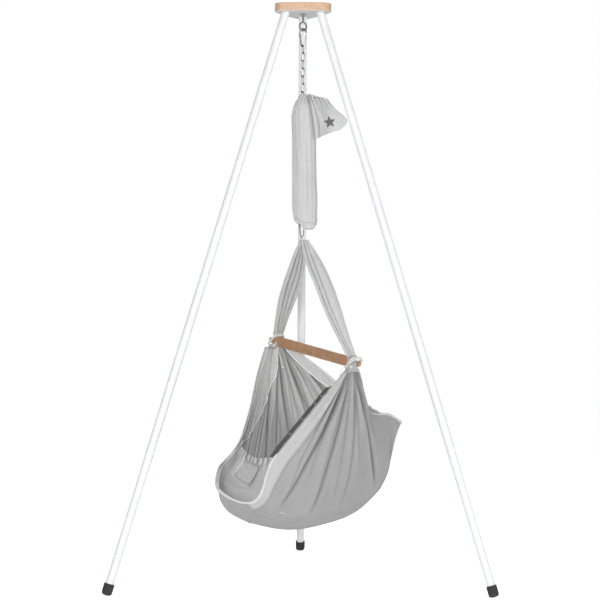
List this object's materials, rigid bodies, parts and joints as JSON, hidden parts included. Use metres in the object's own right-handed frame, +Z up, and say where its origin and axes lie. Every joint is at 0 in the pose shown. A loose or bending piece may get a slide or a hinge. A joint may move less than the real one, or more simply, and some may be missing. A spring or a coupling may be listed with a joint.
{
  "type": "baby cradle",
  "caption": "Fabric baby hammock hung by a sprung, covered chain from a three-legged tubular stand with a wooden top plate and a wooden spreader bar.",
  "frame": {"origin": "middle of the bounding box at floor level, 190 mm behind the stand's vertical axis", "axes": "+X to the right and +Y away from a person who faces the cradle, +Z up"},
  "size_m": [1.3512, 1.1752, 2.08],
  "materials": {
    "beech": "oiled pale beech",
    "bar_beech": "oiled beech",
    "white_paint": "satin powder coat",
    "bare_steel": "bright zinc",
    "black_rubber": "matt",
    "grey_cotton": "melange jersey",
    "dark_grey_cotton": "melange jersey, inner side",
    "pad_cotton": "padded cotton",
    "black_webbing": "woven webbing",
    "white_cord": "braided cord",
    "grey_plastic": "moulded"
  },
  "bodies": {
    "stand": {"left_leg_lower": "white_paint", "left_leg_upper": "white_paint", "left_leg_spigot": "bare_steel", "left_leg_insert": "grey_plastic", "left_leg_bolt": "bare_steel", "left_foot_cap": "black_rubber", "right_leg_lower": "white_paint", "right_leg_upper": "white_paint", "right_leg_spigot": "bare_steel", "right_leg_insert": "grey_plastic", "right_leg_bolt": "bare_steel", "right_foot_cap": "black_rubber", "rear_leg_lower": "white_paint", "rear_leg_upper": "white_paint", "rear_leg_spigot": "bare_steel", "rear_leg_insert": "grey_plastic", "rear_leg_bolt": "bare_steel", "rear_foot_cap": "black_rubber", "top_plate": "beech", "eye_bolt": "bare_steel", "eye_bolt_collar": "bare_steel", "eye_bolt_washer": "bare_steel", "eye_bolt_nut": "bare_steel"},
    "snap_hook": {"snap_hook_body": "bare_steel"},
    "snap_gate": {"snap_hook_gate": "bare_steel"},
    "upper_chain": {"chain_link_1": "bare_steel", "chain_link_2": "bare_steel", "chain_link_3": "bare_steel"},
    "lower_chain": {"chain_link_4": "bare_steel", "chain_link_5": "bare_steel", "chain_link_6": "bare_steel", "spring": "bare_steel", "safety_rope": "white_cord", "spring_cover": "grey_cotton", "cover_pouch": "grey_cotton"},
    "lower_hook": {"lower_hook_body": "bare_steel"},
    "lower_gate": {"lower_hook_gate": "bare_steel"},
    "hammock": {"hanging_loop": "white_cord", "left_strap": "grey_cotton", "right_strap": "grey_cotton", "spreader_bar": "bar_beech", "left_gather": "grey_cotton", "right_gather": "grey_cotton", "left_tie_cord": "white_cord", "right_tie_cord": "white_cord", "left_tie_tail": "white_cord", "right_tie_tail": "white_cord", "left_tail_knot": "white_cord", "right_tail_knot": "white_cord", "far_side_panel": "dark_grey_cotton", "far_head_belly": "dark_grey_cotton", "far_foot_belly": "dark_grey_cotton", "near_side_panel": "grey_cotton", "base_panel": "grey_cotton", "head_lip_hem": "pad_cotton", "foot_lip_hem": "pad_cotton", "lying_pad": "pad_cotton", "pad_side": "pad_cotton", "pillow_pocket": "pad_cotton", "closing_belt": "black_webbing"}
  },
  "joints": [
    {"name": "swing_fore_aft", "type": "hinge", "parent": "stand", "child": "snap_hook", "pos_m": [0, -0.18993, 1.993], "axis": [1, 0, 0], "range_deg": [-4, 4]},
    {"name": "swing_side", "type": "hinge", "parent": "snap_hook", "child": "upper_chain", "pos_m": [0, -0.18993, 1.9353], "axis": [0, 1, 0], "range_deg": [-4, 4]},
    {"name": "chain_twist", "type": "hinge", "parent": "upper_chain", "child": "lower_chain", "pos_m": [0, -0.18993, 1.8536], "axis": [0, 0, 1], "range_deg": [-12, 12], "stiffness_Nm_per_rad": 0.6},
    {"name": "bounce", "type": "slide", "parent": "lower_chain", "child": "lower_hook", "axis": [0, 0, 1], "range_m": [-0.12, 0.03], "stiffness_N_per_m": 250, "springref_m": 0.0789, "deforming": ["spring", "safety_rope"]},
    {"name": "hammock_rock", "type": "hinge", "parent": "lower_hook", "child": "hammock", "pos_m": [0, -0.18993, 1.2378], "axis": [0.766, 0.6428, 0], "range_deg": [-3, 3]},
    {"name": "snap_gate_hinge", "type": "hinge", "parent": "snap_hook", "child": "snap_gate", "pos_m": [0.007, -0.194, 1.9459], "axis": [0.5, 0.866, 0], "range_deg": [-25, 0], "stiffness_Nm_per_rad": 0.05, "springref_deg": 5.73},
    {"name": "lower_gate_hinge", "type": "hinge", "parent": "lower_hook", "child": "lower_gate", "pos_m": [0.0053, -0.1855, 1.2495], "axis": [-0.6428, 0.766, 0], "range_deg": [-25, 0], "stiffness_Nm_per_rad": 0.05, "springref_deg": 5.73}
  ]
}
